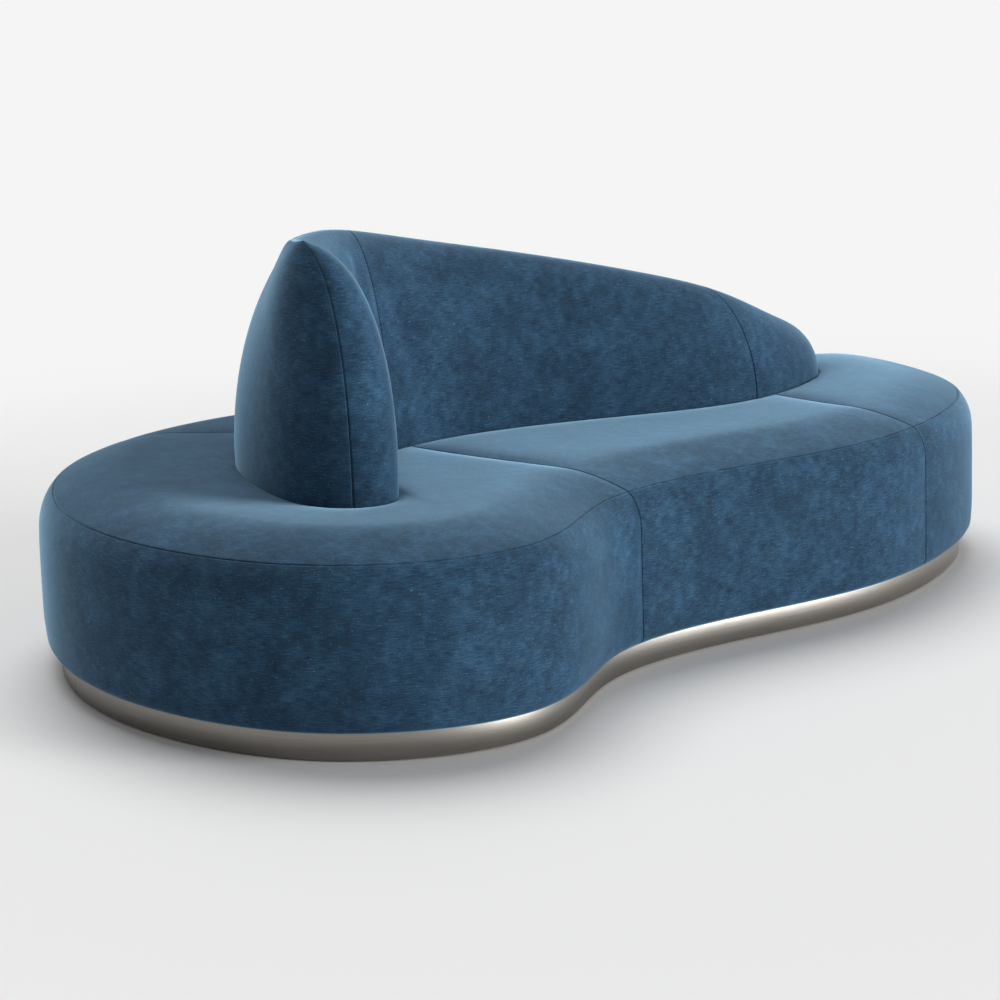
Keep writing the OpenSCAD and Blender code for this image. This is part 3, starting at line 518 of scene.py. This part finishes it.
def sewn(grid, name):
    """Moves the cloth out by its swelling and down into its seams."""
    seams = ["left", "right"]
    seams += {"seat_side": ["high"], "seat_top": ["low"]}.get(name.rsplit("_", 1)[0], [])
    widths = walked(grid, 1)[:, -1]
    depth = SEAM_DEPTH * np.clip(widths / FULL_DEPTH_WIDTH, 0, 1)[:, None]
    dip = np.zeros(grid.shape[:2])
    for border in seams:
        dip = np.maximum(dip, depth * np.exp(-(distance_to(grid, border) / SEAM_WIDTH) ** 2))
    normal = normals_of(grid)
    cloth = grid + normal * (swell_at(name, grid) - dip)[:, :, None]
    for at, beside in ((0, 1), (-1, -2)):
        way = grid[:, beside] - grid[:, at]
        length = np.maximum(np.linalg.norm(way, axis=1), 1e-9)[:, None]
        cloth[:, at] += way / length * np.minimum(SEAM_GAP, length * GAP_SHARE)
    if name.startswith("seat_top"):
        near = np.clip(ROLL - distance_to(grid, "high"), 0, ROLL)
        cloth[:, :, 2] -= ROLL - np.sqrt(ROLL ** 2 - near ** 2)
        flap = np.repeat(cloth[-1:], FLAP_ROWS, 0)
        flap[:, :, 2] -= np.linspace(0, FLAP - ROLL, FLAP_ROWS + 1)[1:, None]
        cloth = np.concatenate([cloth, flap])
        normal = np.concatenate([normal, np.repeat(normal[-1:], FLAP_ROWS, 0)])
    return turned_in(cloth, normal, seams)


def lay_threads(layer, mesh, place):
    """Writes where each point lies on the flat piece into a UV map."""
    corner = np.empty(len(mesh.loops), np.int32)
    mesh.loops.foreach_get("vertex_index", corner)
    layer.data.foreach_set("uv", place[corner].astype(np.float32).ravel())


def closed_sheet(name, outer):
    """A closed piece of cloth of one thickness, with its threads' run kept as a UV map."""
    rows, cols = outer.shape[:2]
    inner = outer - CLOTH * normals_of(outer)
    count = rows * cols
    face = grid_faces(rows, cols)
    ring = np.concatenate([np.arange(cols), np.arange(1, rows) * cols + cols - 1,
                           (rows - 1) * cols + np.arange(cols - 2, -1, -1),
                           np.arange(rows - 2, 0, -1) * cols])
    after = np.roll(ring, -1)
    border = np.stack([ring, ring + count, after + count, after], 1)
    points = np.concatenate([outer.reshape(-1, 3), inner.reshape(-1, 3)])
    obj = new_mesh_object(name, points, np.concatenate([face, face[:, ::-1] + count, border]))
    along, upward = distance_to(outer, "left"), distance_to(outer, "low")
    place = np.tile(np.stack([along, upward], 2).reshape(-1, 2), (2, 1))
    lay_threads(obj.data.uv_layers.new(name="threads"), obj.data, place)
    obj.data.shade_smooth()
    return obj


covers = {name: closed_sheet(name, sewn(grid, name)) for name, grid in fine_grids.items()}
print("cover panels:", {name: len(obj.data.polygons) for name, obj in covers.items()})

# %% [markdown]
# ## Foam
#
# Under the covers lie cut and bonded foam parts. They don't show, but they carry the
# shape, so each is there. A copy of the CAD solid is merged and drawn in a little, and its
# cut edges are softened with a bevel. A Shrinkwrap modifier then presses each point that
# is too far out back under the cover, as the tight cloth does. The seat's foam is kept
# level under its top, and the back's is cut blunt under both ends of the ridge, where the
# cover is rounded off.


# %% Foam tools
MERGE, FOAM_EDGE = .05 * MM, 2.5 * MM
FIRM_SQUEEZE, SQUEEZE, BACK_SQUEEZE, UNDER_COVER = .2 * MM, 10 * MM, 12 * MM, 8 * MM
SKIN_FLAP, SKIN_COLUMNS = .2, 60
# How far round each end of the ridge the foam is blunted, how much, and how far below
# that end lies the point that it is drawn to
BLUNT_REACH, BLUNTING, BLUNT_ENDS = .12, .4, ((BEAK, .2), (FAR_END, .1))


def only(obj):
    """Selects one object and nothing else."""
    bpy.ops.object.select_all(action="DESELECT")
    obj.select_set(True)
    bpy.context.view_layer.objects.active = obj


def apply_modifier(obj, kind, **values):
    only(obj)
    modifier = obj.modifiers.new(kind.title(), kind)
    for key, value in values.items():
        setattr(modifier, key, value)
    bpy.ops.object.modifier_apply(modifier=modifier.name)


def cut_foam(node, name, squeeze, under=None):
    """One CAD solid as a piece of foam, drawn in, softened and pressed in under its cover."""
    only(NODES[node])
    bpy.ops.object.duplicate()
    foam = bpy.context.object
    foam.name = name
    foam.parent = None
    for key in list(foam.keys()):
        del foam[key]
    only(foam)
    bpy.ops.object.mode_set(mode="EDIT")
    bpy.ops.mesh.select_all(action="SELECT")
    bpy.ops.mesh.remove_doubles(threshold=MERGE)
    bpy.ops.mesh.tris_convert_to_quads()
    bpy.ops.mesh.select_all(action="DESELECT")
    bpy.ops.object.mode_set(mode="OBJECT")
    apply_modifier(foam, "DISPLACE", strength=-squeeze, mid_level=0)
    apply_modifier(foam, "BEVEL", width=FOAM_EDGE, segments=2, limit_method="ANGLE",
                   angle_limit=math.radians(40))
    if under:
        apply_modifier(foam, "SHRINKWRAP", target=under, wrap_mode="INSIDE", offset=UNDER_COVER)
        points = coordinates(foam.data)
        if under.name.startswith("seat"):
            points[:, 2] = np.minimum(points[:, 2], SEAT_TOP - SQUEEZE)
        else:
            for end, below in BLUNT_ENDS:
                near = np.exp(-(np.linalg.norm(points - end, axis=1) / BLUNT_REACH) ** 2)
                points += BLUNTING * near[:, None] * (end - [0, 0, below] - points)
        foam.data.vertices.foreach_set("co", points.astype(np.float32).ravel())
    bpy.ops.object.shade_smooth_by_angle(angle=math.radians(35))
    return foam


def cover_skin(kind, **more):
    """All panels of the seat or of the back as one thin surface."""
    faces, points, first = [], [], 0
    for name, (surface, ends) in PANELS.items():
        if name.startswith(kind):
            grid = surface(np.linspace(*ends, SKIN_COLUMNS), **more)
            faces.append(grid_faces(*grid.shape[:2], first))
            points.append(grid.reshape(-1, 3))
            first += len(points[-1])
    return new_mesh_object(kind + "_skin", np.concatenate(points), np.concatenate(faces))


# %% Foam pieces
seat_skin, back_skin = cover_skin("seat"), cover_skin("back", flap=SKIN_FLAP)
foams = {node: cut_foam(node, node + "_cut", squeeze, skin) for node, squeeze, skin in (
    ("seat_foam_near", FIRM_SQUEEZE, None), ("seat_foam_far", FIRM_SQUEEZE, None),
    ("seat_topper", SQUEEZE, seat_skin), ("side_foam", SQUEEZE, seat_skin),
    ("back_foam_front", BACK_SQUEEZE, back_skin), ("back_foam_rear", BACK_SQUEEZE, back_skin))}
bpy.data.objects.remove(seat_skin)
bpy.data.objects.remove(back_skin)
print("foam pieces:", [f"{o.name} {len(o.data.polygons)}" for o in foams.values()])

# %% [markdown]
# ## The plinth's metal band
#
# A strip of brushed steel is bent round the wooden plinth in two lengths, with a hairline
# joint at each end of the sofa. A flat grid is added, its points are laid along the
# plinth's curve, and it gets its thickness and its softened edges from modifiers.

# %% Metal band
BAND_INSET, BAND_LOW, BAND_HIGH = 29 * MM, 3 * MM, 59.7 * MM
BAND_THICKNESS, BAND_EDGE = 1.5 * MM, .3 * MM
BAND_COLUMNS, BAND_ROWS = 640, 2
# Places of the joints on the seat's outline, and half their gap there
BAND_JOINTS, JOINT_GAP = (6, 13.5), .0012


def metal_band(name, start, end):
    bpy.ops.object.select_all(action="DESELECT")
    bpy.ops.mesh.primitive_grid_add(x_subdivisions=BAND_COLUMNS, y_subdivisions=BAND_ROWS, size=1)
    band = bpy.context.object
    band.name = name
    grid = coordinates(band.data)
    u = start + JOINT_GAP + (grid[:, 0] + .5) * (end - start - 2 * JOINT_GAP)
    z = BAND_LOW + (grid[:, 1] + .5) * (BAND_HIGH - BAND_LOW)
    laid = np.concatenate([rim(u, BAND_INSET), z[:, None]], 1)
    band.data.vertices.foreach_set("co", laid.astype(np.float32).ravel())
    table = np.linspace(start, end, TABLE_STEPS)
    along = np.interp(u, table, walked(rim(table, BAND_INSET), 0))
    band.data.uv_layers[0].name = "threads"
    lay_threads(band.data.uv_layers[0], band.data, np.stack([along, z], 1))
    band.data.update()
    apply_modifier(band, "SOLIDIFY", thickness=BAND_THICKNESS, offset=-1)
    apply_modifier(band, "BEVEL", width=BAND_EDGE, segments=2, limit_method="ANGLE",
                   angle_limit=math.radians(50))
    bpy.ops.object.shade_smooth_by_angle(angle=math.radians(30))
    return band


first_joint, second_joint = BAND_JOINTS
bands = {
    "plinth_band_rear": metal_band("band_rear", first_joint, second_joint),
    "plinth_band_front": metal_band("band_front", second_joint, first_joint + len(OUTLINE)),
}
print("band faces:", {node: len(obj.data.polygons) for node, obj in bands.items()})


# %% [markdown]
# ## Finishes
#
# Each finish is built from a few nodes. One function turns a hex colour to the linear
# values that Blender works in, and one adds a node with its settings and links.

# %% Node helpers
def linear(hex_colour):
    channels = [int(hex_colour[k:k + 2], 16) / 255 for k in (1, 3, 5)]
    return [c / 12.92 if c <= .04045 else ((c + .055) / 1.055) ** 2.4 for c in channels] + [1]


def add_node(tree, kind, inputs=(), **settings):
    """Adds a node. An input is a value, or another node's socket to link from."""
    node = tree.nodes.new(kind)
    for key, value in settings.items():
        setattr(node, key, value)
    for key, value in dict(inputs).items():
        if isinstance(value, bpy.types.NodeSocket):
            tree.links.new(value, node.inputs[key])
        else:
            node.inputs[key].default_value = value
    return node


def new_finish(name):
    material = bpy.data.materials.new(name)
    material.use_nodes = True
    material.node_tree.nodes.clear()
    return material, material.node_tree


def colours(tree, fac, *stops):
    """A colour ramp: (position, hex colour) pairs."""
    ramp = add_node(tree, "ShaderNodeValToRGB", {"Fac": fac})
    while len(ramp.color_ramp.elements) < len(stops):
        ramp.color_ramp.elements.new(.5)
    for element, (position, colour) in zip(ramp.color_ramp.elements, stops):
        element.position = position
        element.color = linear(colour)
    return ramp.outputs["Color"]


def surface(tree, bump=None, strength=.2, depth=MM, **inputs):
    """The shader, with a bump, wired to the output."""
    values = {key.replace("_", " "): value for key, value in inputs.items()}
    if bump is not None:
        relief = add_node(tree, "ShaderNodeBump",
                          {"Height": bump, "Strength": strength, "Distance": depth})
        values["Normal"] = relief.outputs["Normal"]
    shader = add_node(tree, "ShaderNodeBsdfPrincipled", values)
    add_node(tree, "ShaderNodeOutputMaterial", {"Surface": shader.outputs["BSDF"]})
    return shader


# %% [markdown]
# ### Cover cloth: a flat-woven chenille
#
# The cover is a dense mid-blue weave of mixed yarns with a short soft nap. Seen from a step
# away it has three scales: cloudy patches where the nap lies differently, short streaks
# along the weft, and single lighter flecks of yarn. The nap scatters light towards the
# edges of every form, which a sheen lobe gives. A yarn is under a millimetre thick and
# too fine to show, so the weave is drawn at about twice that.

# %% Cover cloth
PATCH, CLOUD, STREAK, FLECK, YARN = 110 * MM, 24 * MM, 2 * MM, 3 * MM, 1.6 * MM
chenille, tree = new_finish("chenille_mid_blue")
threads = add_node(tree, "ShaderNodeUVMap", uv_map="threads").outputs["UV"]
place = add_node(tree, "ShaderNodeTexCoord").outputs["Object"]
LAYERS = (  # pattern size along and across the weft, detail, share of the tone
    (place, (PATCH, PATCH), 3, .30), (place, (CLOUD, 1.4 * CLOUD), 5, .35),
    (threads, (12 * STREAK, STREAK), 2, .55), (threads, (2 * YARN, YARN), 1, .30))
tone = 0.0
for vector, (along, across_weft), detail, part in LAYERS:
    scaled = add_node(tree, "ShaderNodeMapping",
                      {"Vector": vector, "Scale": (1 / along, 1 / across_weft, 1 / along)})
    layer = add_node(tree, "ShaderNodeTexNoise",
                     {"Vector": scaled.outputs[0], "Scale": 1, "Detail": detail})
    tone = add_node(tree, "ShaderNodeMath", {0: layer.outputs["Fac"], 1: part, 2: tone},
                    operation="MULTIPLY_ADD").outputs[0]
base = colours(tree, tone, (.55, "#162838"), (.75, "#234058"), (.95, "#395e7b"))
scaled = add_node(tree, "ShaderNodeMapping",
                  {"Vector": threads, "Scale": (1 / (2 * FLECK), 1 / FLECK, 1)})
flecks = add_node(tree, "ShaderNodeTexNoise",
                  {"Vector": scaled.outputs[0], "Scale": 1, "Detail": 1})
# Only the peaks of the noise turn to flecks, and at most .6 of the light yarn shows
light = add_node(tree, "ShaderNodeMapRange", {"Value": flecks.outputs["Fac"],
                                              "From Min": .66, "From Max": .82, "To Max": .6})
fleck_mix = add_node(tree, "ShaderNodeMix", {"Factor": light.outputs[0], "A": base,
                                             "B": linear("#6f9ab8")}, data_type="RGBA")
surface(tree, layer.outputs["Fac"], .35, .6 * MM, Base_Color=fleck_mix.outputs["Result"],
        Roughness=.9, Specular_IOR_Level=.2, Sheen_Weight=1.0, Sheen_Roughness=.3,
        Sheen_Tint=linear("#a3d0ee"))

# %% [markdown]
# ### Plinth metal: brushed stainless steel with a gunmetal tone
#
# The band is brushed along its length, so its scratches are long and thin and stretch its
# reflections upwards. The scratches are under a tenth of a millimetre in reality and are
# drawn at half a millimetre.

# %% Plinth metal
SCRATCH, SCRATCH_STRETCH = .5 * MM, 400
brushed, tree = new_finish("brushed_steel_gunmetal")
threads = add_node(tree, "ShaderNodeUVMap", uv_map="threads").outputs["UV"]
scaled = add_node(tree, "ShaderNodeMapping", {
    "Vector": threads, "Scale": (1 / (SCRATCH_STRETCH * SCRATCH), 1 / SCRATCH, 1)})
scratches = add_node(tree, "ShaderNodeTexNoise",
                     {"Vector": scaled.outputs[0], "Scale": 1, "Detail": 3}).outputs["Fac"]
rough = add_node(tree, "ShaderNodeMapRange",
                 {"Value": scratches, "To Min": .3, "To Max": .5}).outputs[0]
surface(tree, scratches, .12, .1 * MM, Metallic=1.0, Roughness=rough,
        Base_Color=colours(tree, scratches, (.3, "#77736e"), (.7, "#8f8b85")), Anisotropic=.5)

# %% [markdown]
# ### What is under the cover
#
# The frame is raw birch plywood and planed wood, the foam is open-celled, the straps are
# woven, the underside is a black non-woven cloth, the steel parts are zinc plated and the
# glides are moulded nylon. Each is simple, but none is a single flat colour.


# %% Inner finishes
GRAIN_STRETCH = 18
# The straps' slanting weave repeats about every 25 mm along each axis at this scale
STRAP_SCALE = 25


def wood_finish(name, light_hex, dark_hex, grain):
    material, tree = new_finish(name)
    place = add_node(tree, "ShaderNodeTexCoord").outputs["Object"]
    scaled = add_node(tree, "ShaderNodeMapping", {
        "Vector": place, "Scale": (1 / (GRAIN_STRETCH * grain), 1 / grain, 1 / grain)})
    rings = add_node(tree, "ShaderNodeTexNoise", {
        "Vector": scaled.outputs[0], "Scale": 1, "Detail": 4, "Roughness": .6}).outputs["Fac"]
    surface(tree, rings, .15, .2 * MM, Roughness=.62,
            Base_Color=colours(tree, rings, (.3, dark_hex), (.65, light_hex)))
    return material


def grainy_finish(name, dark_hex, light_hex, grain, roughness, depth, **inputs):
    material, tree = new_finish(name)
    place = add_node(tree, "ShaderNodeTexCoord").outputs["Object"]
    grains = add_node(tree, "ShaderNodeTexNoise",
                      {"Vector": place, "Scale": 1 / grain, "Roughness": .6}).outputs["Fac"]
    surface(tree, grains, .4, depth, Roughness=roughness,
            Base_Color=colours(tree, grains, (.35, dark_hex), (.65, light_hex)), **inputs)
    return material


def strap_finish(name):
    material, tree = new_finish(name)
    place = add_node(tree, "ShaderNodeTexCoord").outputs["Object"]
    ribs = add_node(tree, "ShaderNodeTexWave",
                    {"Vector": place, "Scale": STRAP_SCALE, "Distortion": .4},
                    bands_direction="DIAGONAL").outputs["Fac"]
    surface(tree, ribs, .5, .5 * MM, Roughness=.9,
            Base_Color=colours(tree, ribs, (.2, "#1c1c1c"), (.8, "#3a3836")))
    return material


FINISHES = {
    "cover_fabric": chenille,
    "plinth_metal": brushed,
    "plywood": wood_finish("birch_plywood_raw", "#d6b98c", "#b8935f", 4 * MM),
    "solid_wood": wood_finish("beech_planed", "#c79b6d", "#a87a4b", 6 * MM),
    "foam": grainy_finish("foam_open_cell", "#d9cb92", "#efe4b8", 1.5 * MM, .95, .8 * MM),
    "webbing": strap_finish("webbing_woven"),
    "dust_cloth": grainy_finish("non_woven_black", "#0b0b0c", "#1d1d1f", 1.2 * MM, .95, .3 * MM),
    "zinc_steel": grainy_finish("steel_zinc_plated", "#b9bab8", "#dadbd8", 6 * MM, .38, .05 * MM,
                                Metallic=1.0),
    "glide_plastic": grainy_finish("nylon_moulded", "#dcdad4", "#ecebe6", .8 * MM, .5, .05 * MM),
}
print("finishes:", list(FINISHES))


# %% [markdown]
# ## Dressing the frame
#
# Every CAD node that stays gets the finish of its slot in the record. Each new piece gets the
# finish of its slot and moves with the one body, and the nodes that it stands for are hidden.

# %% Finishes on the CAD nodes
def give(obj, slot):
    obj.data.materials.clear()
    obj.data.materials.append(FINISHES[slot])


slots = {part["node"]: part["material_slot"] for part in frame["record"]["subparts"]}
for node, obj in NODES.items():
    give(obj, slots[node])


def dress(obj, slot, *nodes):
    give(obj, slot)
    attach(obj, "root")
    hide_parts(*nodes)


# %% New pieces
for name, obj in covers.items():
    kind, end = name.rsplit("_", 1)
    dress(obj, "cover_fabric", f"{kind}_cover_{end}")
for node, obj in foams.items():
    dress(obj, "foam", node)
for node, obj in bands.items():
    dress(obj, "plinth_metal", node)
print("pieces:", len(covers) + len(foams) + len(bands))

# %% [markdown]
# ## The studio
#
# The photograph has a white sweep with no horizon. A large soft light stands high behind
# the sofa, so its shadow falls forward and its near side is lit only by what the room and
# the floor give back. A narrower one stands at the right, just over the floor. It grazes
# the faces that look that way, such as the far end and the metal there, and barely touches
# the tops. Both are sun lamps with a wide angle, because those light the whole floor
# evenly. The floor takes the shadow, and further out it turns into the backdrop's own
# white.

# %% Floor and backdrop
BACKDROP = "#f5f5f5"
FLOOR_SIZE, SHADOW_ENDS, WHITE_BEGINS = 60, 2.2, 4.2
bpy.ops.object.select_all(action="DESELECT")
bpy.ops.mesh.primitive_plane_add(size=FLOOR_SIZE)
floor = bpy.context.object
floor.name = "floor"


def seen_directly(tree):
    """1 for what the camera sees, also in a reflection, and 0 for light on the object."""
    rays = add_node(tree, "ShaderNodeLightPath").outputs
    seen = rays["Is Camera Ray"]
    for kind in ("Is Glossy Ray", "Is Transmission Ray"):
        seen = add_node(tree, "ShaderNodeMath", {0: seen, 1: rays[kind]},
                        operation="MAXIMUM").outputs[0]
    return seen


sweep, tree = new_finish("studio_sweep_white")
place = add_node(tree, "ShaderNodeTexCoord").outputs["Object"]
far = add_node(tree, "ShaderNodeVectorMath", {0: place}, operation="LENGTH").outputs["Value"]
blend = add_node(tree, "ShaderNodeMapRange",
                 {"Value": far, "From Min": SHADOW_ENDS, "From Max": WHITE_BEGINS},
                 interpolation_type="SMOOTHSTEP").outputs[0]
floor_shader = add_node(tree, "ShaderNodeBsdfPrincipled", {
    "Base Color": linear("#ebebeb"), "Roughness": .7, "Specular IOR Level": .1})
white = add_node(tree, "ShaderNodeEmission", {"Color": linear(BACKDROP)})
amount = add_node(tree, "ShaderNodeMath", {0: blend, 1: seen_directly(tree)},
                  operation="MULTIPLY").outputs[0]
shown = add_node(tree, "ShaderNodeMixShader",
                 {0: amount, 1: floor_shader.outputs[0], 2: white.outputs[0]})
add_node(tree, "ShaderNodeOutputMaterial", {"Surface": shown.outputs[0]})
floor.data.materials.append(sweep)

world = bpy.data.worlds.new("studio")
scene.world = world
world.use_nodes = True
tree = world.node_tree
tree.nodes.clear()
ROOM_LIGHT = .24
ambient = add_node(tree, "ShaderNodeBackground",
                   {"Color": linear("#ffffff"), "Strength": ROOM_LIGHT})
backdrop = add_node(tree, "ShaderNodeBackground", {"Color": linear(BACKDROP), "Strength": 1})
sky = add_node(tree, "ShaderNodeMixShader",
               {0: seen_directly(tree), 1: ambient.outputs[0], 2: backdrop.outputs[0]})
add_node(tree, "ShaderNodeOutputWorld", {"Surface": sky.outputs[0]})

# %% Lamps
def soft_sun(name, side, height, power, width):
    """A sun lamp: its side of the sofa, its height and width in degrees, its power."""
    rise = math.radians(height)
    way = side.normalized() * math.cos(rise) + Vector((0, 0, math.sin(rise)))
    bpy.ops.object.light_add(type="SUN")
    lamp = bpy.context.object
    lamp.name = name
    lamp.data.energy = power
    lamp.data.angle = math.radians(width)
    lamp.rotation_euler = way.to_track_quat("Z", "Y").to_euler()
    print(name, "shines from", tuple(round(v, 2) for v in way))


soft_sun("key_light", flat_ahead - flat_right * .2, height=58, power=2.2, width=45)
soft_sun("side_light", flat_right - flat_ahead * .3, height=4, power=4.4, width=30)
scene.view_settings.view_transform = "Standard"
